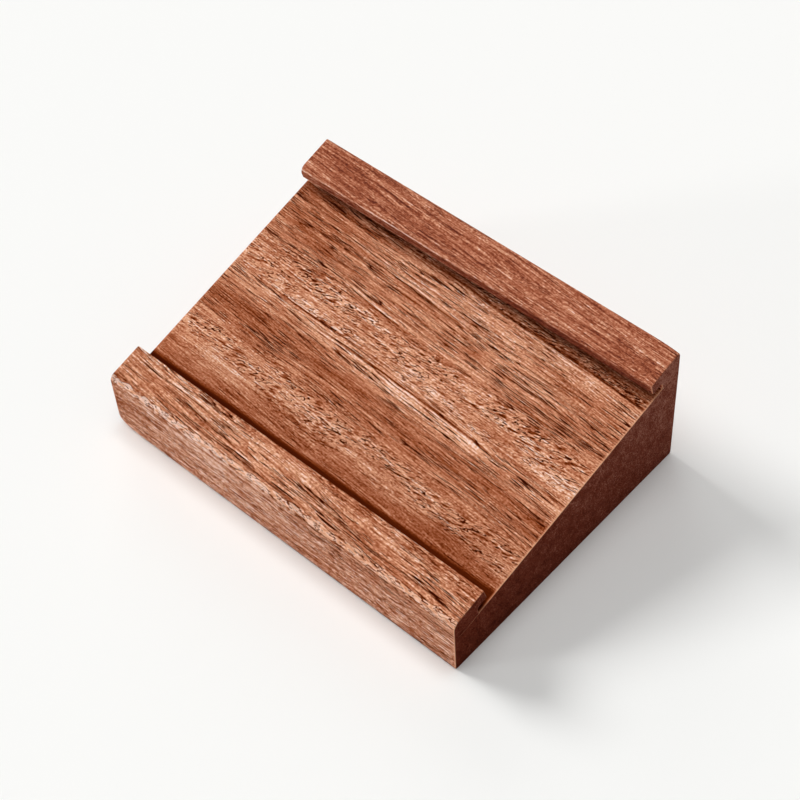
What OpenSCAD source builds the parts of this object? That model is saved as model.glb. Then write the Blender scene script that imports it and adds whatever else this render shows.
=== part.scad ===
// Table sign holder: a wooden wedge with a sloping bed and two grooved rails.
// A flat sign slides along the bed from either end, with its edges under the lips of the rails.
// X runs along the grooves, Y from the front to the rear, Z up. The origin is under the middle.

/* [Overall] */
// Length of the holder, along the grooves
holder_l = 90; // [40:1:200]
// Depth of the holder, from the front face to the rear face
holder_d = 65; // [58:1:100]
// Height of the rear edge
rear_h = 31; // [24:0.5:60]
// Height of the front edge, before it is rounded
front_h = 14.5; // [10:0.5:22]

/* [Sign channel] */
// Width of the sign, from groove bottom to groove bottom along the bed
sign_w = 55; // [30:0.5:60]
// How far the middle of the channel lies behind the middle of the holder
channel_shift = 1; // [-3:0.1:3]
// Height of each groove, which takes the thickness of the sign
groove_h = 2; // [1.2:0.1:4]
// Depth of each groove under its lip
groove_d = 2.75; // [1.5:0.25:5]
// Radius in the upper corner at the bottom of each groove
groove_r = 0.6; // [0.2:0.1:1]

/* [Rails] */
// Thickness of the lip over each groove
lip_t = 3; // [2:0.25:5]

/* [Rounded edges] */
// Radius of the front edge at the top
front_edge_r = 1.8; // [0.5:0.1:4]
// Radius of the rear edge at the top
rear_edge_r = 0.4; // [0.3:0.1:2]
// Radius of the front and rear edges at the bottom
foot_edge_r = 0.5; // [0.3:0.1:3]
// Radius of the upper edge of the front lip
front_lip_r = 0.3; // [0.2:0.1:1.2]
// Radius of the upper edge of the rear lip
rear_lip_r = 0.5; // [0.2:0.1:1.2]
// Radius of the lower edge of both lips
under_lip_r = 0.2; // [0.2:0.1:0.7]

/* [Hidden] */
$fn = 64;

// The line of the rail tops starts at the front corner and touches the rounding of the rear edge
top_run = holder_d - rear_edge_r;
top_rise = rear_h - rear_edge_r - front_h;
slope = atan2(top_rise, top_run) + asin(rear_edge_r / norm([top_run, top_rise]));

// Rails stand this high above the bed, square to it
rail_h = groove_h + lip_t;

// Faces and corners of the outline, as places along Y and Z
front_y = -holder_d / 2;
rear_y = holder_d / 2;
rear_corner_z = front_h + holder_d * tan(slope);
front_bed_z = front_h - rail_h / cos(slope);

// The rails share the depth that the channel leaves, from each outer face to the bottom of its groove
front_wall = (holder_d - sign_w * cos(slope)) / 2 + channel_shift;

// The bottom of the front groove, where it meets the bed
groove_start = [front_y + front_wall, front_bed_z + front_wall * tan(slope)];

// Longer than any face of the outline
reach = holder_d + rear_corner_z;

// An arc runs this far past the two faces that it joins, so that it meets both of them
overlap = 0.001;

function direction(angle) = [cos(angle), sin(angle)];

// What a rounding takes off a corner whose two edges leave it at the angles from and to
module rounding(corner, from, to, r) {
    half = (to - from) / 2;
    inward = direction(from + half);
    tangent = r / tan(half);
    centre = corner + r / sin(half) * inward;
    beyond = corner - r * inward;
    difference() {
        polygon([beyond, corner + tangent * direction(from), centre, corner + tangent * direction(to)]);
        translate(centre) circle(r + overlap);
    }
}

// The outline of the whole holder, seen from its end
module outline() {
    difference() {
        polygon([[front_y, 0], [rear_y, 0], [rear_y, rear_corner_z], [front_y, front_h]]);
        rounding([front_y, 0], 0, 90, foot_edge_r);
        rounding([rear_y, 0], 90, 180, foot_edge_r);
        rounding([rear_y, rear_corner_z], 180 + slope, 270, rear_edge_r);
        rounding([front_y, front_h], 270, 360 + slope, front_edge_r);
    }
}

// Places a drawing on the bed: x up the slope from the bottom of the front groove, y square to the bed
module on_bed() {
    translate(groove_start) rotate(slope) children();
}

// A rail in section, with the bottom of its groove at x = 0 and its lip towards +x
module rail_section(lip_r) {
    difference() {
        translate([-reach, 0]) square([reach + groove_d, reach]);
        // The groove, cut past the two sides at which it is open
        difference() {
            translate([0, -groove_h]) square([reach, 2 * groove_h]);
            rounding([0, groove_h], 270, 360, groove_r);
        }
        rounding([groove_d, groove_h], 90, 180, under_lip_r);
        rounding([groove_d, rail_h], 180, 270, lip_r);
    }
}

// Runs a section through the length of the holder
module along_length() {
    rotate([90, 0, 90]) linear_extrude(height = holder_l, center = true) children();
}

// The body under the bed
module base_wedge() {
    color("#9c6044") along_length() difference() {
        outline();
        on_bed() translate([-reach, 0]) square([2 * reach, reach]);
    }
}

// The rebated strip along the front of the bed
module front_rail() {
    color("#b57a58") along_length() intersection() {
        outline();
        on_bed() rail_section(front_lip_r);
    }
}

// The rebated strip along the rear of the bed
module rear_rail() {
    color("#965744") along_length() intersection() {
        outline();
        on_bed() translate([sign_w, 0]) mirror([1, 0]) rail_section(rear_lip_r);
    }
}

base_wedge();
front_rail();
rear_rail();
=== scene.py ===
# %% [markdown]
# # A wooden table sign holder
# The holder is a small hardwood wedge with a rail glued along its front and its rear edge.
# A rebate under each rail leaves a groove, and a flat sign slides into the grooves from either end.
# This lesson models the wood piece by piece, gives it its grain, and lights it softly from the left.

import math

import bmesh
import bpy
from mathutils import Matrix, Quaternion, Vector, noise


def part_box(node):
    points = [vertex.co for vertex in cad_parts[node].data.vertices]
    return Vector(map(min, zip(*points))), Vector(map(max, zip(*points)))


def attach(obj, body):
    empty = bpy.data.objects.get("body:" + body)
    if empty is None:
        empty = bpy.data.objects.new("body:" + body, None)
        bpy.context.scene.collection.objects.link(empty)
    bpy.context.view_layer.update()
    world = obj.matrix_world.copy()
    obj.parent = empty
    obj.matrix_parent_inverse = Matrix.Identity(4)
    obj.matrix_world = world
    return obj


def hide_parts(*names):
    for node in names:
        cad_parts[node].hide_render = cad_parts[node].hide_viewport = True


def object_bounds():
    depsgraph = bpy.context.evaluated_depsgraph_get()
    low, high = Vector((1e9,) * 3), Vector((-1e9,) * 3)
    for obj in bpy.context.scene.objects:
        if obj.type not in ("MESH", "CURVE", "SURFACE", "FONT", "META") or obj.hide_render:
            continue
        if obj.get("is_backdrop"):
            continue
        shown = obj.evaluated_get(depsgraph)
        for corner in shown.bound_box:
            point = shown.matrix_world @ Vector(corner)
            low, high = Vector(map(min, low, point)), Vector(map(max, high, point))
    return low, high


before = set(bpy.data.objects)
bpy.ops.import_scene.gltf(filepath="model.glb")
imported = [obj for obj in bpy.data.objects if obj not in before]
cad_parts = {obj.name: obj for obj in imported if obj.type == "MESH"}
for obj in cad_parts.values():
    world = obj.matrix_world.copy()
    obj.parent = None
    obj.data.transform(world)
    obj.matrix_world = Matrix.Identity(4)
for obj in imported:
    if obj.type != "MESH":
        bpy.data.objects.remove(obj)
cad_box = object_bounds()
MM = 0.001
print("nodes:", sorted(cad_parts))

# %% [markdown]
# ## The sizes that all pieces share
# The wedge and the rails meet on one sloping plane, the bed.
# Its two ends are read from the frame: the front rail starts at the bed's lowest line, and the wedge ends
# at its highest. The grooves, lips and roundings are the sizes of the real holder, in millimetres.

# %% The bed and the channel
wedge_low, wedge_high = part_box("base_wedge")
front_rail_low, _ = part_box("front_rail")

half_length = wedge_high.x
front_y = wedge_low.y
rear_y = wedge_high.y
bed_front = Vector((front_y, front_rail_low.z))
bed_rear = Vector((rear_y, wedge_high.z))
up_slope = (bed_rear - bed_front).normalized()
square_up = Vector((-up_slope.y, up_slope.x))
slope = math.atan2(up_slope.y, up_slope.x)

sign_width = 55 * MM
channel_shift = 1 * MM
groove_height = 2 * MM
groove_depth = 2.75 * MM
rail_height = 5 * MM

channel_run = sign_width * up_slope.x
groove_front_y = channel_shift - channel_run / 2
groove_front = bed_front + up_slope * ((groove_front_y - front_y) / up_slope.x)
groove_rear = groove_front + up_slope * sign_width
print(f"bed slope {math.degrees(slope):.2f} degrees, wedge {2 * half_length / MM:.1f} mm long")

# %% [markdown]
# ## One way to make every piece
# Each piece has one section along its whole length, as wood that was planed and grooved by machine has.
# It could be a curve with a bevel object, but a mesh prism is plainer: draw the corners, fill them,
# extrude.
# Each long edge is then rounded with a bevel. A bevel is set by how far it reaches along the two faces,
# so the radius is turned into that reach with the angle that the wood has at the edge.

# %% Prisms and rounded edges
near = 0.01 * MM
right_angle = math.pi / 2
small_edge_steps = 5


def prism(corners):
    """The section with these corners, as places in Y and Z, run through the length of the holder."""
    bm = bmesh.new()
    section = [bm.verts.new((-half_length, corner.x, corner.y)) for corner in corners]
    swept = bmesh.ops.extrude_face_region(bm, geom=[bm.faces.new(section)])
    far_end = [v for v in swept["geom"] if isinstance(v, bmesh.types.BMVert)]
    bmesh.ops.translate(bm, vec=(2 * half_length, 0, 0), verts=far_end)
    bmesh.ops.recalc_face_normals(bm, faces=bm.faces)
    return bm


def on_line(vert, corner):
    """Whether a vertex lies on the long edge through one corner of the section."""
    return (vert.co.yz - corner).length < near


def round_edge(bm, corner, radius, wood_angle, segments):
    """Rounds the edge at a corner where the wood fills the given angle, and returns the bevel's reach."""
    edges = [e for e in bm.edges if all(on_line(v, corner) for v in e.verts)]
    reach = radius / math.tan(wood_angle / 2)
    bmesh.ops.bevel(bm, geom=edges, offset=reach, offset_type="OFFSET", segments=segments,
                    profile=0.5, affect="EDGES", material=-1)
    return reach


print(f"corners closer than {near / MM} mm count as one, small edges are rounded in {small_edge_steps} steps")

# %% [markdown]
# ## Eased ends and a finer mesh
# Sandpaper takes the sharpness off every arris at the sawn ends, but it can't reach into a glue joint.
# So the ends are bevelled only where the wood is bare, and the pieces still meet flush at the joints.
# The long faces are then cut into short lengths, which later take nicks and small changes of radius.
# A rounding is never quite even: scaling its vertices about the corner that it took off changes its radius
# along the length and keeps both faces flat.

# %% Eased ends and lengthwise cuts
end_ease = 0.15 * MM
end_ease_steps = 2
cut_length = 0.3 * MM


def height_over_bed(vert):
    """How far a vertex lies above the plane of the bed."""
    return (vert.co.yz - bed_front).dot(square_up)


def glued(edge):
    """Whether an edge of a sawn end lies in a glue joint."""
    in_bed = all(abs(height_over_bed(v)) < near for v in edge.verts)
    along = [(v.co.yz - groove_front).dot(up_slope) for v in edge.verts]
    return in_bed and (max(along) < near or min(along) > sign_width - near)


def ease_ends(bm):
    """Bevels the bare arrises of both sawn ends."""
    arrises = [e for e in bm.edges
               if all(abs(abs(v.co.x) - half_length) < near for v in e.verts)
               and abs(e.verts[0].co.x - e.verts[1].co.x) < near and not glued(e)]
    bmesh.ops.bevel(bm, geom=arrises, offset=end_ease, offset_type="OFFSET", segments=end_ease_steps,
                    profile=0.5, affect="EDGES", material=-1)


def cut_along(bm):
    """Cuts the long faces across, into short lengths."""
    long_edges = [e for e in bm.edges if abs(e.verts[0].co.x - e.verts[1].co.x) > half_length]
    cuts = round(2 * half_length / cut_length)
    bmesh.ops.subdivide_edges(bm, edges=long_edges, cuts=cuts, use_grid_fill=True)


print(f"ends eased by {end_ease / MM} mm, long faces cut every {cut_length / MM} mm")

# %% Uneven roundings


def vary_radius(bm, corner, reach, share_at):
    """Scales a rounding about its corner, by a share that depends on the place along the length."""
    for vert in bm.verts:
        away = vert.co.yz - corner
        if away.length < reach + 2 * end_ease:
            vert.co.yz = corner + away * share_at(vert.co.x)


def across(x, left, right):
    """A value that runs evenly from the left end to the right end."""
    return left + (right - left) * (x + half_length) / (2 * half_length)


def worn_corner(x, end_x, extra, run):
    """A share that is 1 along most of an edge and grows towards one end, where handling rounds the corner."""
    return 1 + extra * math.exp(-abs(x - end_x) / run)


print(f"a share that runs from 0.5 at the left to 1 at the right is {across(0, 0.5, 1)} in the middle")

# %% [markdown]
# ## From a bmesh to a piece
# A finished piece needs a mesh, smooth shading on its roundings, and a place in the holder.
# Its normals are recalculated, because vertices were moved. Edges sharper than a small angle stay sharp,
# so that flat faces look flat. The rails are glued down: each one sinks a hair into the wedge, which
# closes the joint to light.

# %% Glue and finish
glue_lap = 0.02 * MM
sharp_angle = math.radians(20)


def lap_joint(bm):
    """Sinks the glued face of a rail a hair into the wedge, so that no light leaks through the joint."""
    for vert in bm.verts:
        if abs(height_over_bed(vert)) < near:
            vert.co.z -= glue_lap


def finish_piece(bm, name, node):
    """Turns a bmesh into an object that stands for its node and rides with the holder."""
    bmesh.ops.recalc_face_normals(bm, faces=bm.faces)
    mesh = bpy.data.meshes.new(name)
    bm.to_mesh(mesh)
    bm.free()
    mesh.polygons.foreach_set("use_smooth", [True] * len(mesh.polygons))
    mesh.set_sharp_from_angle(angle=sharp_angle)
    piece = bpy.data.objects.new(name, mesh)
    bpy.context.scene.collection.objects.link(piece)
    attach(piece, "root")
    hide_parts(node)
    triangles = sum(len(p.vertices) - 2 for p in mesh.polygons)
    print(f"{name}: {len(mesh.vertices)} vertices, {triangles} triangles")
    return piece


print(f"each rail sinks {glue_lap / MM} mm into the wedge")

# %% [markdown]
# ## The wedge
# The wedge is the body of the holder. It is sawn from one block, with the grain along the grooves.
# Its lower edges are only broken with sandpaper. The front left corner, which gets knocked most, is
# rounder.

# %% Model the wedge
foot_radius = 0.5 * MM
foot_corner_extra = 4.5
foot_corner_run = 1.8 * MM

front_foot = Vector((front_y, wedge_low.z))
rear_foot = Vector((rear_y, wedge_low.z))

wedge = prism([front_foot, rear_foot, bed_rear, groove_rear, groove_front, bed_front])
foot_reach = round_edge(wedge, front_foot, foot_radius, right_angle, small_edge_steps)
round_edge(wedge, rear_foot, foot_radius, right_angle, small_edge_steps)
ease_ends(wedge)
cut_along(wedge)
vary_radius(wedge, front_foot, foot_reach,
            lambda x: worn_corner(x, -half_length, foot_corner_extra, foot_corner_run))
base_wedge = finish_piece(wedge, "wood_wedge", "base_wedge")

# %% [markdown]
# ## The front rail
# The front rail is a strip with a rebate under its inner side, so that a lip hangs over the groove.
# Its outer edge is the one that hands touch, and it is rounded the most, a little more towards the right.
# The plane tore short fibres out of that edge. The torn places are shallow, so moving vertices inwards
# by a noise pattern is enough, and no boolean cutters are needed.

# %% The section of a rail and the torn edge
lip_under_radius = 0.2 * MM
groove_radius = 0.6 * MM
tear_depth = 0.22 * MM
tear_length = 1.7 * MM
tear_width = 0.45 * MM
tear_facing = 0.9
fine_tear_share = 0.4
fine_tear_scale = 2.7


def rail_corners(groove, towards_bed, outer_y):
    """The corners of a rail: its groove, its lip, and the outer face at the given Y."""
    inner = up_slope * towards_bed
    top = groove + square_up * rail_height
    outer_low = groove + up_slope * ((outer_y - groove.x) / up_slope.x)
    outer_top = top + up_slope * ((outer_y - top.x) / up_slope.x)
    return {"groove": groove, "groove_top": groove + square_up * groove_height,
            "lip_under": groove + square_up * groove_height + inner * groove_depth,
            "lip_top": top + inner * groove_depth, "outer_top": outer_top, "outer_low": outer_low}


def tear_edge(bm, outwards):
    """Takes torn fibres out of the edge that faces up and out, deepest half way round it."""
    bm.normal_update()
    for vert in bm.verts:
        facing_out = vert.normal.dot(outwards)
        if facing_out < tear_facing or abs(vert.co.x) > half_length - end_ease:
            continue
        spot = Vector((vert.co.x / tear_length, vert.co.z / tear_width, 0))
        torn = max(0, noise.noise(spot) + fine_tear_share * noise.noise(spot * fine_tear_scale))
        vert.co -= vert.normal * tear_depth * torn * (facing_out - tear_facing) / (1 - tear_facing)


print(f"tears up to {tear_depth / MM} mm deep and about {tear_length / MM} mm long")

# %% Model the front rail
front_lip_radius = 0.3 * MM
front_edge_radius = 1.8 * MM
front_edge_left, front_edge_right = 0.85, 1.05
front_edge_steps = 12

front = rail_corners(groove_front, 1, front_y)
rail = prism(list(front.values()))
round_edge(rail, front["groove_top"], groove_radius, right_angle, small_edge_steps)
round_edge(rail, front["lip_under"], lip_under_radius, right_angle, small_edge_steps)
round_edge(rail, front["lip_top"], front_lip_radius, right_angle, small_edge_steps)
edge_reach = round_edge(rail, front["outer_top"], front_edge_radius, right_angle + slope, front_edge_steps)
ease_ends(rail)
cut_along(rail)
vary_radius(rail, front["outer_top"], edge_reach, lambda x: across(x, front_edge_left, front_edge_right))
up_and_out = Vector((0, -1, 1)).normalized()
tear_edge(rail, up_and_out)
lap_joint(rail)
front_rail = finish_piece(rail, "wood_front_rail", "front_rail")

# %% [markdown]
# ## The rear rail
# The rear rail has the same section, turned round, on the high side of the bed.
# Its lip was sanded by hand: towards the left end the upper edge becomes a full, soft rounding.
# The rear edge is nearly sharp, apart from the right corner, which is rubbed round.

# %% Model the rear rail
rear_lip_radius = 0.5 * MM
rear_lip_extra = 2.2
rear_lip_run = 18 * MM
rear_edge_radius = 0.43 * MM
rear_edge_steps = 6
rear_corner_extra = 1.4
rear_corner_run = 2 * MM

rear = rail_corners(groove_rear, -1, rear_y)
rail = prism(list(rear.values()))
round_edge(rail, rear["groove_top"], groove_radius, right_angle, small_edge_steps)
round_edge(rail, rear["lip_under"], lip_under_radius, right_angle, small_edge_steps)
lip_reach = round_edge(rail, rear["lip_top"], rear_lip_radius, right_angle, small_edge_steps)
edge_reach = round_edge(rail, rear["outer_top"], rear_edge_radius, right_angle - slope, rear_edge_steps)
ease_ends(rail)
cut_along(rail)
vary_radius(rail, rear["lip_top"], lip_reach,
            lambda x: worn_corner(x, -half_length, rear_lip_extra, rear_lip_run))
vary_radius(rail, rear["outer_top"], edge_reach,
            lambda x: worn_corner(x, half_length, rear_corner_extra, rear_corner_run))
lap_joint(rail)
rear_rail = finish_piece(rail, "wood_rear_rail", "rear_rail")

# %% [markdown]
# ## Building materials from nodes
# Every finish below is a tree of shader nodes. One small function adds a node, with its settings, its
# links and the stops of a ramp, so that the trees read as a list of steps. A stop is a grey level or a
# colour.
# Colours are written as the hex values that a screen shows. The shader wants linear light, so they are
# converted.

# %% Node and colour helpers


def linear(hex_colour):
    """A screen colour such as #b57a58 as linear light, with full alpha."""
    channels = [int(hex_colour[i:i + 2], 16) / 255 for i in (1, 3, 5)]
    return [c / 12.92 if c <= 0.04045 else ((c + 0.055) / 1.055) ** 2.4 for c in channels] + [1]


def add(tree, kind, inputs, out=0, stops=None, **settings):
    """Adds a node to a tree and returns one of its outputs. An input is a value or another node's output."""
    made = tree.nodes.new("ShaderNode" + kind)
    for name, value in settings.items():
        setattr(made, name, value)
    for socket, value in inputs.items():
        if isinstance(value, bpy.types.NodeSocket):
            tree.links.new(value, made.inputs[socket])
        else:
            made.inputs[socket].default_value = value
    for i, (place, value) in enumerate(stops or []):
        ramp = made.color_ramp.elements
        stop = ramp[i] if i < len(ramp) else ramp.new(place)
        stop.position = place
        stop.color = value if hasattr(value, "__len__") else (value, value, value, 1)
    return made.outputs[out]


print("a mid brown in linear light:", [round(channel, 3) for channel in linear("#a66041")])

# %% [markdown]
# ## Where the grain runs
# The wood is an open-grained reddish hardwood with interlocked grain: its fibres lean one way, then the
# other, in bands a few millimetres wide. Cut open, the bands show as light and dark stripes, each with
# its own pores.
# All patterns are drawn in the board's own coordinates, in millimetres: along the grain, up the slope
# from the middle of the bed, and out of the bed. The lines drift towards the front and waver, as on the
# real board.

# %% Grain coordinates
bed_middle = (bed_front + bed_rear) / 2
board_origin = Vector((0, bed_middle.dot(up_slope), bed_middle.dot(square_up))) / MM
grain_drift = 0.044
waver_length = 40
waver_width = 6
waver_reach = 1.4
noise_low, noise_high = 0.2, 0.8


def board_space(tree):
    """Object coordinates turned into the board's own, in millimetres."""
    place = add(tree, "TexCoord", {}, out="Object")
    return add(tree, "Mapping", {"Vector": place, "Location": -board_origin, "Rotation": (-slope, 0, 0),
                                 "Scale": (1 / MM,) * 3})


def grain_space(tree, board):
    """Board coordinates with the drift and waver of the grain, so that its lines become straight."""
    stretch = (1 / waver_length, 1 / waver_width, 1 / waver_width)
    slow = add(tree, "VectorMath", {0: board, 1: stretch}, operation="MULTIPLY")
    waver = add(tree, "TexNoise", {"Vector": slow, "Scale": 1.0, "Detail": 2.0, "Roughness": 0.5})
    push = add(tree, "MapRange", {"Value": waver, "From Min": noise_low, "From Max": noise_high,
                                  "To Min": -waver_reach / 2, "To Max": waver_reach / 2}, clamp=False)
    along = add(tree, "SeparateXYZ", {0: board})
    lean = add(tree, "Math", {0: along, 1: grain_drift, 2: push}, operation="MULTIPLY_ADD")
    sideways = add(tree, "CombineXYZ", {1: lean})
    return add(tree, "VectorMath", {0: board, 1: sideways}, operation="ADD")


print(f"the grain drifts {2 * half_length / MM * grain_drift:.1f} mm over the length of the holder")

# %% [markdown]
# ## Bands and single marks
# The wood has one scale of tones, from the red-brown in a pore to a pale, lifted fibre. Every pattern
# only moves a place up or down this scale. The bands come first: a colour ramp across the board holds
# four values at once, the tone, how far the pores slant, and how strong the fibres and the pores are.
# Single marks, such as a stain or one long open vessel, are ellipses stretched along the grain.

# %% Bands and marks
band_low, band_high = -38, 38


def plus(tree, total, level, middle, amount):
    """The total with a level added, by its distance from its middle times the amount."""
    away = add(tree, "Math", {0: level, 1: middle}, operation="SUBTRACT")
    return add(tree, "Math", {0: away, 1: amount, 2: total}, operation="MULTIPLY_ADD")


def banded(tree, grain, bands):
    """Tone, slant, fibres and pores across the board. A band is its place up the slope, and these four."""
    up = add(tree, "SeparateXYZ", {0: grain}, out="Y")
    where = add(tree, "MapRange", {"Value": up, "From Min": band_low, "From Max": band_high})
    stops = [((place - band_low) / (band_high - band_low), values) for place, *values in bands]
    band = add(tree, "ValToRGB", {0: where}, stops=stops)
    parts = [add(tree, "SeparateColor", {0: band}, out=part) for part in ("Red", "Green", "Blue")]
    return parts + [band.node.outputs["Alpha"]]


def marked(tree, grain, tone, marks):
    """The tone with single marks, each its place along and up the slope, its half sizes and its change."""
    for along, up, half_long, half_wide, change in marks:
        away = add(tree, "VectorMath", {0: grain, 1: (along, up, 0)}, operation="SUBTRACT")
        away = add(tree, "VectorMath", {0: away, 1: (1 / half_long, 1 / half_wide, 0)}, operation="MULTIPLY")
        far = add(tree, "VectorMath", {0: away}, out="Value", operation="LENGTH")
        mark = add(tree, "MapRange", {"Value": far, "From Min": 1.0, "From Max": 0.0},
                   interpolation_type="SMOOTHSTEP")
        tone = plus(tree, tone, mark, 0, change)
    return tone


print(f"bands lie between {band_low} and {band_high} mm up the slope from the middle of the bed")

# %% [markdown]
# ## Fibres
# Everything that the grain shows is longer than it is wide. So each pattern is drawn in a space that is
# squeezed by the length and width of its marks, in millimetres, and sheared where the marks lean.
# Fibres are soft streaks. A noise texture in such a space gives these, and five layers of it, from broad
# clouds to short specks, add up to the streaks of real wood.

# %% Fibres
# A layer is its length and width in mm, its lean, and how far it moves the tone
fibre_layers = [(14, 4, 0, 0.1), (30, 1.2, 0, 0.25), (18, 0.26, 0, 0.5), (4, 0.24, -0.06, 0.4),
                (0.5, 0.3, 0, 0.5)]
noise_middle = 0.5


def squeezed(tree, grain, length, width, lean):
    """Grain coordinates in which a mark of this length and width in mm is one unit; lean slants it."""
    along = add(tree, "SeparateXYZ", {0: grain})
    sideways = add(tree, "Math", {0: along, 1: -lean}, operation="MULTIPLY")
    shear = add(tree, "CombineXYZ", {1: sideways})
    leaning = add(tree, "VectorMath", {0: grain, 1: shear}, operation="ADD")
    return add(tree, "VectorMath", {0: leaning, 1: (1 / length, 1 / width, 1 / width)}, operation="MULTIPLY")


def fibres(tree, grain, length, width, lean=0):
    """Soft streaks of this length and width in mm, from 0 to 1."""
    space = squeezed(tree, grain, length, width, lean)
    return add(tree, "TexNoise", {"Vector": space, "Scale": 1.0, "Detail": 1.0, "Roughness": 0.6})


def streaked(tree, grain, tone, fibre):
    """The tone with all layers of fibres, as strong as the bands say."""
    for length, width, lean, amount in fibre_layers:
        share = add(tree, "Math", {0: fibre, 1: amount}, operation="MULTIPLY")
        tone = plus(tree, tone, fibres(tree, grain, length, width, lean), noise_middle, share)
    return tone


print(len(fibre_layers), "layers of fibres")

# %% [markdown]
# ## Pores
# Pores are cut vessels, about 0.1 mm wide. They are drawn up to twice as wide, so that they show.
# Where the fibres lie in the surface, pores are long, thin lines. A Voronoi texture places one point in
# each cell, and the distance to it makes a slender pit with a pale rim, a painted highlight. Longer lines
# come from a noise: all places where it has one level lie on a line, as on a map, and a ramp that is dark
# only near that level draws the line, with a painted highlight beside it.
# Where the fibres lean out of the surface, pores are short, slanted, ragged flecks. They are such lines
# too, of a noise with shorter marks. Pores come in clusters, and they are fainter towards the left end.

# %% Single vessels
# A profile is at this level in plain wood, lower in a pore and higher on its rim, a painted highlight
plain_level = 0.5
vessel_cell = (6, 0.24, -0.03)
vessel_profile = [(0.10, 0.05), (0.25, 0.10), (0.34, 0.50), (0.40, 0.58), (0.52, 0.50)]
vessel_shrink = (1.8, 0.8)


def vessel_lines(tree, grain):
    """Long pores, one to a cell and each with its own size, as levels of a profile."""
    space = squeezed(tree, grain, *vessel_cell)
    away = add(tree, "TexVoronoi", {"Vector": space, "Scale": 1.0, "Randomness": 1.0}, out="Distance")
    chance = add(tree, "SeparateColor", {0: away.node.outputs["Color"]})
    shrink = add(tree, "MapRange", {"Value": chance, "To Min": vessel_shrink[0], "To Max": vessel_shrink[1]})
    scaled = add(tree, "Math", {0: away, 1: shrink}, operation="MULTIPLY")
    return add(tree, "ValToRGB", {0: scaled}, stops=vessel_profile)


print(f"one vessel in each {vessel_cell[0]} by {vessel_cell[1]} mm")

# %% Lines, flecks and clusters
line_size = (16, 0.5)
line_profile = [(0.33, 0.53), (0.372, 0.48), (0.392, 0.05), (0.403, 0.05), (0.423, 0.48), (0.48, 0.57),
                (0.56, 0.50)]
fleck_size = (3.2, 0.6, 0.18)
fleck_profile = [(0.30, 0.535), (0.36, 0.52), (0.38, 0.24), (0.41, 0.24), (0.43, 0.52), (0.50, 0.54),
                 (0.57, 0.50), (0.65, 0.36)]
cluster_size = (20, 3)
cluster_from, cluster_to = 0.35, 0.6
cluster_faint, cluster_strong = 0.3, 1.2
quiet_from, quiet_to, quiet_strength = -44, -24, 0.7


def only_where(tree, level, *masks):
    """A level that keeps its strength only where all the masks are 1."""
    for mask in masks:
        level = add(tree, "Math", {0: level, 1: mask}, operation="MULTIPLY")
    return level


def pitted(tree, grain, tone, slant, pore):
    """The tone with pores, as strong and as slanted as the bands say."""
    flecks = add(tree, "ValToRGB", {0: fibres(tree, grain, *fleck_size)}, stops=fleck_profile)
    lines = add(tree, "ValToRGB", {0: fibres(tree, grain, *line_size)}, stops=line_profile)
    lines = add(tree, "Math", {0: lines, 1: vessel_lines(tree, grain)}, operation="MINIMUM")
    shown = add(tree, "Mix", {0: slant, 2: lines, 3: flecks}, data_type="FLOAT")
    crowd = fibres(tree, grain, *cluster_size)
    clusters = add(tree, "MapRange", {"Value": crowd, "From Min": cluster_from, "From Max": cluster_to,
                                      "To Min": cluster_faint, "To Max": cluster_strong})
    along = add(tree, "SeparateXYZ", {0: grain})
    quiet = add(tree, "MapRange", {"Value": along, "From Min": quiet_from, "From Max": quiet_to,
                                   "To Min": quiet_strength})
    return plus(tree, tone, shown, plain_level, only_where(tree, pore, clusters, quiet))


print(f"lines {line_size[0]} mm and flecks {fleck_size[0]} mm long")

# %% [markdown]
# ## The torn front edge
# The plane lifted and tore the fibres on the rounded edge of the front rail. They show as a strip of pale
# flakes, each with a thin dark outline, between two ragged cracks. The strip could be painted on a UV
# map, but the surface normal already says how far round the edge a place is: it points up on the rail and
# forwards on the front face.
# A noise is added to it, so that the strip and its cracks wander.

# %% Facing, and the strength of wear and painted shade along the length
half_mm = half_length / MM
wear_and_shade_left, wear_and_shade_right = 1.0, 0.8
looks_up_from, looks_up_to = 0.05, 0.35


def facing(tree):
    """How far the surface faces forwards, and how far it looks up."""
    normal = add(tree, "SeparateXYZ", {0: add(tree, "TexCoord", {}, out="Normal")}).node
    forwards = add(tree, "Math", {0: normal.outputs["Y"], 1: -1}, operation="MULTIPLY")
    return forwards, normal.outputs["Z"]


def looking_up(tree, upwards):
    """A mask of the faces that look up."""
    return add(tree, "MapRange", {"Value": upwards, "From Min": looks_up_from, "From Max": looks_up_to})


def wear_and_shade(tree, board):
    """How strong the wear of the torn edge and the painted shade beside the front lip are: most at the left
    end.
    """
    along = add(tree, "SeparateXYZ", {0: board})
    return add(tree, "MapRange", {"Value": along, "From Min": -half_mm, "From Max": half_mm,
                                  "To Min": wear_and_shade_left, "To Max": wear_and_shade_right})


print(f"wear runs from {wear_and_shade_left} at {-half_mm:.0f} mm to {wear_and_shade_right} at {half_mm:.0f} mm")

# %% The torn strip
edge_waver_size, edge_waver = (3, 0.6), 0.5
strip_profile = [(0.50, 0), (0.54, 1), (0.93, 1), (0.96, 0)]
flake_size = (1.8, 0.5)
flake_profile = [(0.30, 0.98), (0.385, 1.0), (0.41, 0.25), (0.435, 0.25), (0.46, 1.0), (0.54, 0.97),
                 (0.62, 0.85)]
crack_profile = [(0.45, 0), (0.50, 1), (0.54, 0), (0.93, 0), (0.96, 1), (1.0, 0)]
crack_drop = 0.35


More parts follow.
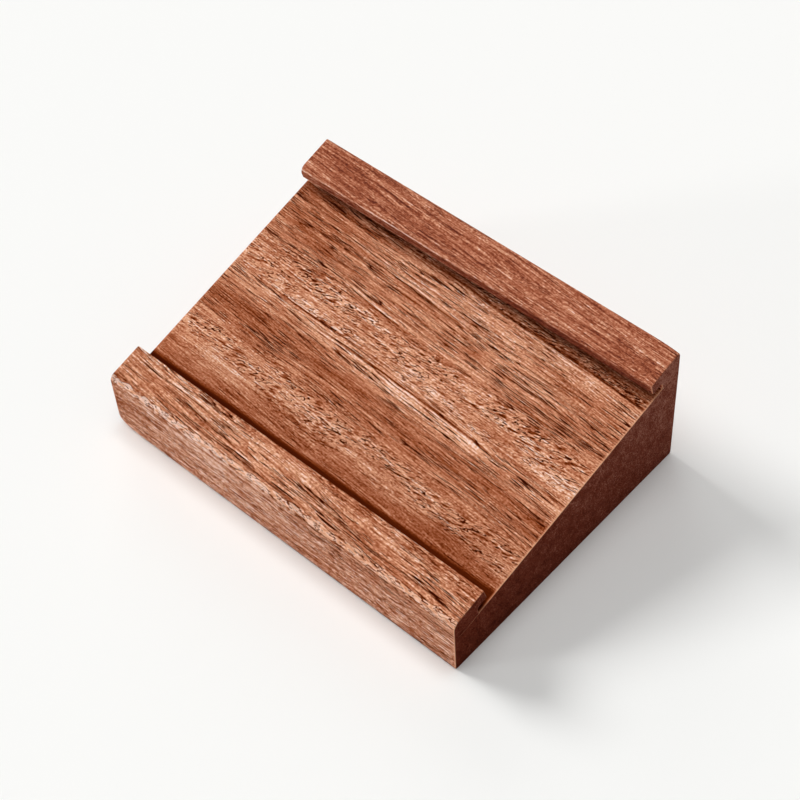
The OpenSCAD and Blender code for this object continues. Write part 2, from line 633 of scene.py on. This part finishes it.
def torn_edge(tree, board, grain, tone):
    """The tone with torn fibres along the rounded front edge."""
    forwards, upwards = facing(tree)
    up_bed = add(tree, "SeparateXYZ", {0: board}, out="Y")
    front_half = add(tree, "Math", {0: up_bed, 1: 0}, operation="LESS_THAN")
    in_front = only_where(tree, looking_up(tree, upwards), front_half)
    ragged = plus(tree, forwards, fibres(tree, grain, *edge_waver_size), noise_middle, edge_waver)
    strip = add(tree, "ValToRGB", {0: ragged}, stops=strip_profile)
    flakes = add(tree, "ValToRGB", {0: fibres(tree, grain, *flake_size)}, stops=flake_profile)
    torn = only_where(tree, strip, in_front, wear_and_shade(tree, board))
    tone = add(tree, "Mix", {0: torn, 2: tone, 3: flakes}, data_type="FLOAT")
    cracks = add(tree, "ValToRGB", {0: ragged}, stops=crack_profile)
    return plus(tree, tone, only_where(tree, cracks, in_front), 0, -crack_drop)


print(f"flakes of {flake_size[0]} mm along an edge of {2 * half_mm:.0f} mm")

# %% [markdown]
# ## Painted shade and highlights
# Four more steps move the tone to stand in for light and shade. Towards the right, the faces that look down,
# in the grooves and under the lips, are darkened with painted shade. Towards the left, the rounding of the
# rear lip gets a painted highlight, a pale line.
# Painted shade darkens the bed beside the front lip. At the right end, the arris round the channel is a thin
# pale line, partly pale broken fibre and partly a painted highlight.

# %% Painted shade under the lips and a painted highlight on the rear lip
# Painted shade: faces that look down, in the grooves and under the lips, are darkened, more towards the right
looks_down_from, looks_down_to = -0.05, -0.2
underside_shade_drop = 0.2
underside_shade_start, underside_shade_full = -60, 10
# Painted highlight: a pale line on the rounding of the rear lip, towards the left
lip_highlight_lift = 0.3
lip_highlight_profile = [(0.78, 0), (0.87, 1), (0.93, 1), (0.965, 0)]
lip_highlight_full, lip_highlight_end = -20, 15


def shaded_undersides(tree, board, tone):
    """The tone with painted shade on the undersides, more so towards the right."""
    upwards = facing(tree)[1]
    downwards = add(tree, "MapRange", {"Value": upwards, "From Min": looks_down_from,
                                       "From Max": looks_down_to})
    along = add(tree, "SeparateXYZ", {0: board})
    shade_towards_right = add(tree, "MapRange", {"Value": along, "From Min": underside_shade_start, "From Max": underside_shade_full})
    return plus(tree, tone, only_where(tree, downwards, shade_towards_right), 0, -underside_shade_drop)


def highlighted(tree, board, tone):
    """The tone with a painted highlight, a pale line on the rounding of the rear lip, towards the left."""
    forwards = facing(tree)[0]
    lit_lip_edge = add(tree, "ValToRGB", {0: forwards}, stops=lip_highlight_profile)
    place = add(tree, "SeparateXYZ", {0: board}).node
    on_left = add(tree, "MapRange", {"Value": place.outputs["X"], "From Min": lip_highlight_end,
                                     "From Max": lip_highlight_full})
    rear_half = add(tree, "Math", {0: place.outputs["Y"], 1: 0}, operation="GREATER_THAN")
    return plus(tree, tone, only_where(tree, lit_lip_edge, on_left, rear_half), 0, lip_highlight_lift)


print(f"the polished line fades {lip_highlight_end} mm right of the middle")

# %% Painted shade beside the front lip, and the pale arris at the right end
lip_mm = (groove_front - bed_middle).dot(up_slope) / MM + groove_depth / MM
# Painted shade: a dark line on the bed beside the front lip, strongest at the left end
lip_shade_tone = 0.22
lip_shade_full, lip_shade_end = lip_mm + 1.6, lip_mm + 2.6
bed_level, over_bed = 0.2, 0.5
# The pale arris at the right end is partly pale broken fibre and partly a painted highlight
pale_arris_width = 0.5
pale_arris_tone = 0.90
pale_arris_full, pale_arris_end = rail_height / MM - 0.5, rail_height / MM - 0.3


def lip_shaded(tree, board, tone):
    """The tone with painted shade, a dark line on the bed beside the front lip."""
    place = add(tree, "SeparateXYZ", {0: board}).node
    beside_lip = add(tree, "MapRange", {"Value": place.outputs["Y"], "From Min": lip_shade_end,
                                        "From Max": lip_shade_full})
    in_bed = add(tree, "MapRange", {"Value": place.outputs["Z"], "From Min": over_bed, "From Max": bed_level})
    upwards = looking_up(tree, facing(tree)[1])
    lip_shade = only_where(tree, beside_lip, in_bed, upwards, wear_and_shade(tree, board))
    return add(tree, "Mix", {0: lip_shade, 2: tone, 3: lip_shade_tone}, data_type="FLOAT")


def pale_arris_line(tree, board, tone):
    """The tone with a pale arris round the channel at the right end: partly pale broken fibre, partly a
    painted highlight.
    """
    place = add(tree, "SeparateXYZ", {0: board}).node
    at_end = add(tree, "MapRange", {"Value": place.outputs["X"], "From Min": half_mm - pale_arris_width,
                                    "From Max": half_mm})
    in_channel = add(tree, "MapRange", {"Value": place.outputs["Z"], "From Min": pale_arris_end,
                                        "From Max": pale_arris_full})
    arris = only_where(tree, at_end, in_channel)
    return add(tree, "Mix", {0: arris, 2: tone, 3: pale_arris_tone}, data_type="FLOAT")


print(f"the front lip ends {lip_mm:.1f} mm from the middle of the bed")

# %% [markdown]
# ## Sawn ends
# The ends show the fibres cut across. They drink oil, so they are much darker than the faces, and a
# little paler towards the top of the rear. Cut fibres have no direction, so the end is a round speckle:
# noises of three sizes, and the open vessels as small dark pits, which a Voronoi texture places.

# %% Sawn ends
end_facing_from, end_facing_to = 0.80, 0.97
end_tones = [(0.05, "#42140b"), (0.28, "#622716"), (0.48, "#703020"), (0.72, "#874a39"), (0.95, "#ac7462")]
end_low, end_rise = 0.39, 0.27
# Each speckle is its size in mm and its strength; along the grain it has no end
end_speckles = [(0.2, 1.5), (0.55, 0.8), (2.5, 0.6)]
endless = 1000
end_pore_cell = 0.5
end_pore_core, end_pore_rim = 0.15, 0.3
end_pore_drop = 0.3


def sawn_end(tree, board):
    """How far a place is on a sawn end, and the level and colour of the cut fibres there."""
    normal = add(tree, "TexCoord", {}, out="Normal")
    sideways = add(tree, "Math", {0: add(tree, "SeparateXYZ", {0: normal}, out="X")}, operation="ABSOLUTE")
    end = add(tree, "MapRange", {"Value": sideways, "From Min": end_facing_from, "From Max": end_facing_to})
    place = add(tree, "TexCoord", {}, out="Object")
    size = cad_box[1] - cad_box[0]
    rise = add(tree, "VectorMath", {0: place, 1: (0, 1 / size.y, 1 / size.z)}, out="Value",
               operation="DOT_PRODUCT")
    level = add(tree, "Math", {0: rise, 1: end_rise, 2: end_low}, operation="MULTIPLY_ADD")
    for width, amount in end_speckles:
        level = plus(tree, level, fibres(tree, board, endless, width), noise_middle, amount)
    space = squeezed(tree, board, endless, end_pore_cell, 0)
    away = add(tree, "TexVoronoi", {"Vector": space, "Scale": 1.0, "Randomness": 1.0}, out="Distance")
    pits = add(tree, "MapRange", {"Value": away, "From Min": end_pore_rim, "From Max": end_pore_core})
    level = plus(tree, level, pits, 0, -end_pore_drop)
    return end, level, add(tree, "ValToRGB", {0: level}, stops=[(at, linear(tint)) for at, tint in end_tones])


print(len(end_speckles), "sizes of speckle on the sawn ends")

# %% [markdown]
# ## The finish: planed, sanded and thinly oiled
# The tone becomes a colour on one ramp. The front face was left from the saw, and its fuzz makes it a
# little paler and pinker. The strip of the rear rail is redder than the rest of the wood.
# The oil is so thin that the wood has almost no gloss, and the pores are duller than the fibres.
# The tone is also the height of the bump, because a pore is a pit and a lifted fibre stands proud.

# %% The colour of the wood
wood_tones = [(0.20, "#3a0e02"), (0.36, "#5c2106"), (0.50, "#823d1c"), (0.64, "#a66041"), (0.73, "#bc7859"),
              (0.80, "#ce8e6c"), (0.89, "#e5ac88"), (0.96, "#f1c5ae"), (1.0, "#f8dacd")]
fuzz_colour = "#d8b4a6"
fuzz_share = 0.15
fuzz_facing_from, fuzz_facing_to = 0.8, 0.97
fuzz_tone_from, fuzz_tone_to = 0.6, 0.85
rose_colour = "#b26e66"


def wood_colour(tree, tone, rose):
    """The colour of a tone, redder by the share of rose, and paler where the front face is fuzzy."""
    colour = add(tree, "ValToRGB", {0: tone}, stops=[(place, linear(tint)) for place, tint in wood_tones])
    colour = add(tree, "Mix", {0: rose, "A": colour, "B": linear(rose_colour)}, out="Result",
                 data_type="RGBA")
    forwards = facing(tree)[0]
    sawn = add(tree, "MapRange", {"Value": forwards, "From Min": fuzz_facing_from, "From Max": fuzz_facing_to,
                                  "To Max": fuzz_share})
    lifted = add(tree, "MapRange", {"Value": tone, "From Min": fuzz_tone_from, "From Max": fuzz_tone_to})
    fuzz = only_where(tree, sawn, lifted)
    return add(tree, "Mix", {0: fuzz, "A": colour, "B": linear(fuzz_colour)}, out="Result", data_type="RGBA")


print(len(wood_tones), "tones, from", wood_tones[0][1], "in a pore to", wood_tones[-1][1], "on a torn fibre")

# %% The wood material
pore_roughness, fibre_roughness = 0.9, 0.6
dull_tone, smooth_tone = 0.4, 0.8
oil_gloss = 0.004
pore_depth = 0.1 * MM


def sapele(name, bands, marks, rose):
    """Reddish hardwood with interlocked grain, in these bands and marks; rose makes it redder."""
    material = bpy.data.materials.new(name)
    material.use_nodes = True
    tree = material.node_tree
    shader = tree.nodes["Principled BSDF"]

    board = board_space(tree)
    grain = grain_space(tree, board)
    tone, slant, fibre, pore = banded(tree, grain, bands)
    tone = marked(tree, grain, tone, marks)
    tone = streaked(tree, grain, tone, fibre)
    tone = pitted(tree, grain, tone, slant, pore)
    tone = torn_edge(tree, board, grain, tone)
    # These four steps paint shade and highlights into the tone, with the pale broken fibre at the right end
    for painted_light in (shaded_undersides, highlighted, lip_shaded, pale_arris_line):
        tone = painted_light(tree, board, tone)
    end, end_level, end_colour = sawn_end(tree, board)

    # Planed hardwood under thin oil: warm and matt, with dark pits and pale fibres and hardly a highlight
    colour = wood_colour(tree, tone, rose)
    colour = add(tree, "Mix", {0: end, "A": colour, "B": end_colour}, out="Result", data_type="RGBA")
    tree.links.new(colour, shader.inputs["Base Color"])
    dull = add(tree, "MapRange", {"Value": tone, "From Min": dull_tone, "From Max": smooth_tone,
                                  "To Min": pore_roughness, "To Max": fibre_roughness})
    tree.links.new(dull, shader.inputs["Roughness"])
    height = add(tree, "Mix", {0: end, 2: tone, 3: end_level}, data_type="FLOAT")
    bump = add(tree, "Bump", {"Height": height, "Distance": pore_depth, "Strength": 1.0})
    tree.links.new(bump, shader.inputs["Normal"])
    shader.inputs["Specular IOR Level"].default_value = oil_gloss
    return material


print(f"pores {pore_depth / MM} mm deep, with a roughness of {pore_roughness}; fibres {fibre_roughness}")

# %% [markdown]
# ## The bands of each piece
# The bands are read off the real board from the front edge to the rear. The front face is the outer side
# of both the wedge and the front rail, so the two share the bands that lie there and their joint doesn't
# show.
# The bed has plain bands with long lines and slanted bands with flecks, and a dark, torn strip under the
# rear lip.

# %% Bands of the wedge and the bed
# A band is its place up the slope in mm, its tone, its slant, and the strength of its fibres and of its pores
front_face_bands = [(-36, 0.75, 0, 1.7, 0.9), (-34.5, 0.78, 0, 1.7, 0.9), (-33.4, 0.80, 0, 1.7, 0.9)]
# The first three bands, beside the front lip, are darker: partly the wood and partly painted shade of the lip
bed_bands = [(-22, 0.65, 0.5, 1.1, 0.7), (-20, 0.65, 0.5, 1.1, 0.8), (-18.5, 0.68, 0.7, 1.1, 0.9),
             (-16.5, 0.755, 0.8, 1.1, 1.4), (-15, 0.765, 1, 1.1, 2.5), (-12, 0.75, 1, 1.1, 2.5),
             (-10.7, 0.725, 0.6, 1.1, 1.6), (-9, 0.705, 0.1, 1.1, 2.1), (-5, 0.635, 0.3, 1.1, 1.5),
             (-3.2, 0.71, 0, 1.1, 1.5), (-1, 0.82, 0, 1.1, 1.8), (1.2, 0.82, 0, 1.1, 1.8),
             (2.2, 0.825, 0.8, 1.1, 2.3), (5, 0.79, 0.9, 1.1, 2.4), (6.3, 0.78, 1, 1.1, 2.5),
             (8.5, 0.76, 1, 1.2, 2.5), (9.6, 0.75, 0.8, 1.2, 2.2), (11, 0.75, 0, 1.1, 2),
             (16, 0.745, 0, 1.1, 2), (20, 0.785, 0, 1.2, 2.3), (22.5, 0.81, 0.1, 1.2, 2.3),
             (24.5, 0.785, 0.2, 1.2, 2.1), (24.9, 0.55, 0.9, 1.3, 2.2), (25.4, 0.60, 1, 1.4, 2.6),
             (26.5, 0.64, 1, 1.4, 2.6), (28, 0.63, 0.6, 1.1, 1.2)]
print(len(bed_bands), "bands on the bed")

# %% Marks of the wedge and the bed
# A mark is its place along and up the slope, its half length and half width in mm, and its change of tone
# The face mark darkens the right part of the front face: painted shade
face_marks = [(36, -33, 30, 2.6, -0.04)]
# The darkest cloud, under the rear lip at the left end, is painted shade of that lip
clouds = [(-36, 16.4, 26, 7.5, -0.13), (-32, -17.4, 26, 5, 0.06), (36, 12.6, 16, 3, -0.09),
          (34, -15.5, 22, 5, -0.08), (36, -0.4, 18, 3, -0.11), (34, 19.6, 18, 3, -0.11),
          (34, -3.6, 16, 2, -0.05), (-30, -6.3, 20, 2, -0.06), (-34, -19, 18, 3, 0.08),
          (34, -19, 18, 3, -0.04), (-38, 23.4, 26, 4.6, -0.22), (-36, -10, 22, 4, -0.04),
          (-36, 0.5, 22, 6, -0.04), (-36, 7, 20, 3, -0.05)]
# The marks that lighten beside a dark vessel are its rim, a painted highlight
open_vessels = [(6, 0.65, 44, 0.3, -0.4), (8, 0.2, 40, 0.4, 0.18), (-4, 18.0, 14, 0.28, -0.35),
                (-9, 16.1, 7, 0.3, -0.35), (-5, 13.7, 8, 0.3, -0.3), (-11, 10.5, 8, 0.3, -0.4),
                (-11, 10.9, 7, 0.4, 0.2), (6.5, 19.5, 1.6, 0.3, -0.6), (-20, 1.9, 26, 0.3, -0.35),
                (-20, 2.3, 24, 0.35, 0.15), (24, 17.0, 12, 0.25, -0.35), (24, 24.8, 60, 0.35, -0.25)]
print(len(clouds), "clouds and", len(open_vessels), "open vessels and rims on the bed")

# %% Bands of the rails, and all materials
front_bands = [(-32, 0.77, 0, 1.2, 2.2), (-30.8, 0.73, 0, 1.2, 2.2), (-29, 0.77, 0, 1.2, 2.2),
               (-27.6, 0.75, 0, 1.2, 2.2), (-26.3, 0.81, 0, 1.2, 2.2), (-25.3, 0.80, 0.3, 1.2, 2.2),
               (-24.3, 0.74, 0.7, 1.2, 1.7)]
front_marks = face_marks + [(20, -28, 40, 8, -0.03)]
rear_bands = [(24.5, 0.67, 0.5, 1.3, 1), (26, 0.69, 0.5, 1.3, 1), (27, 0.665, 0.5, 1.3, 1),
              (36, 0.68, 0.5, 1.3, 1)]
rear_marks = [(-38, 28.5, 18, 8, -0.06)]
rear_rose = 0.13

wedge_marks = face_marks + clouds + open_vessels
for piece, bands, marks, rose in ((base_wedge, front_face_bands + bed_bands, wedge_marks, 0),
                                  (front_rail, front_face_bands + front_bands, front_marks, 0),
                                  (rear_rail, rear_bands, rear_marks, rear_rose)):
    piece.data.materials.append(sapele(f"planed_oiled_sapele_{piece.name}", bands, marks, rose))
    print("finished", piece.name)

# %% [markdown]
# ## The table
# The holder stands on a plain, nearly white board. One large square is enough, because its edges lie
# outside the picture. Matt paint scatters light evenly, so the table shows soft shadows and no
# reflections.

# %% The table
table_half = 2.0
table_colour = "#f8f8f6"
table_roughness = 0.9

table_mesh = bpy.data.meshes.new("table")
top = bmesh.new()
bmesh.ops.create_grid(top, x_segments=1, y_segments=1, size=table_half)
top.to_mesh(table_mesh)
top.free()
table = bpy.data.objects.new("table", table_mesh)
bpy.context.scene.collection.objects.link(table)
table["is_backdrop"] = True

# Matt paint on a board: an even, nearly white face without gloss
paint = bpy.data.materials.new("matt_painted_board")
paint.use_nodes = True
paint_inputs = paint.node_tree.nodes["Principled BSDF"].inputs
paint_inputs["Base Color"].default_value = linear(table_colour)
paint_inputs["Roughness"].default_value = table_roughness
table_mesh.materials.append(paint)
print(f"table {2 * table_half:.0f} m wide")

# %% [markdown]
# ## The light
# A soft window at the left end throws the shadow to the right, and a weak one behind it lengthens that
# shadow.
# A wide ceiling light and a narrow one from above the rear light the bed, and leave a dark line where the
# front meets the table. A low bounce fills the front face, and the even sky keeps all shadows pale.
# Suns with a wide angle are used instead of area lamps, because their level doesn't fall off across the
# table.

# %% Lights
# A light is its azimuth (0 is the front, -90 the left), elevation and spread in degrees, and its level
lights = {"left_window": (-84, 35.5, 24, 0.372),
          "ceiling": (0, 90, 40, 0.27),
          "rear_top": (180, 78, 14, 0.12),
          "rear_window": (-125, 17, 34, 0.055),
          "front_bounce": (-40, 7, 10, 0.035)}


def direction(azimuth, elevation):
    """The direction from the holder towards a place round it, both angles in radians."""
    return Vector((math.sin(azimuth) * math.cos(elevation), -math.cos(azimuth) * math.cos(elevation),
                   math.sin(elevation)))


def soft_sun(name, azimuth, elevation, spread, level):
    """A wide, even light from one side; level is the share of white that it gives the table."""
    lamp = bpy.data.lights.new(name, "SUN")
    lamp.angle = math.radians(spread)
    lamp.energy = math.pi * level / math.sin(math.radians(elevation))
    light = bpy.data.objects.new(name, lamp)
    towards = direction(math.radians(azimuth), math.radians(elevation))
    light.rotation_euler = towards.to_track_quat("Z", "Y").to_euler()
    bpy.context.scene.collection.objects.link(light)


for name, setting in lights.items():
    soft_sun(name, *setting)
print("lights:", ", ".join(lights))

# %% The sky and the view
sky_level = 0.165
world = bpy.data.worlds.new("even_sky")
world.use_nodes = True
world.node_tree.nodes["Background"].inputs["Color"].default_value = (1, 1, 1, 1)
world.node_tree.nodes["Background"].inputs["Strength"].default_value = sky_level
bpy.context.scene.world = world
bpy.context.scene.view_settings.view_transform = "Standard"
table_level = sky_level + sum(level for *_, level in lights.values())
print(f"lights and sky give the table {table_level:.3f} of white")

# %% [markdown]
# ## The camera
# The camera looks down on the holder from the front right, with a long lens and a slight tilt of the
# horizon.
# Its place is given round a target inside the holder: two angles, a distance, and a roll about the line
# of sight.

# %% The camera
view_azimuth = math.radians(45.03)
view_elevation = math.radians(51.23)
view_roll = math.radians(-4.13)
view_target = Vector((3.41, -0.36, 15.0)) * MM
view_distance = 379.5 * MM
lens_length = 88.1
sensor_width = 36

back = direction(view_azimuth, view_elevation)
lens = bpy.data.cameras.new("camera")
lens.lens = lens_length
lens.sensor_width = sensor_width
camera = bpy.data.objects.new("camera", lens)
turned = back.to_track_quat("Z", "Y") @ Quaternion((0, 0, 1), view_roll)
camera.matrix_world = Matrix.Translation(view_target + back * view_distance) @ turned.to_matrix().to_4x4()
bpy.context.scene.collection.objects.link(camera)
bpy.context.scene.camera = camera
print(f"camera {view_distance / MM:.0f} mm from the holder")

# %% [markdown]
# ## The last comparison
# The dressed holder must fill the same box as the measured one, so the distances between the corners of
# the two boxes are printed.

# %% Compare the boxes and finish
visual_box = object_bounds()
apart = [(dressed - measured).length / MM for dressed, measured in zip(visual_box, cad_box)]
print(f"the low corners of the two boxes are {apart[0]:.3f} mm apart, the high ones {apart[1]:.3f} mm")
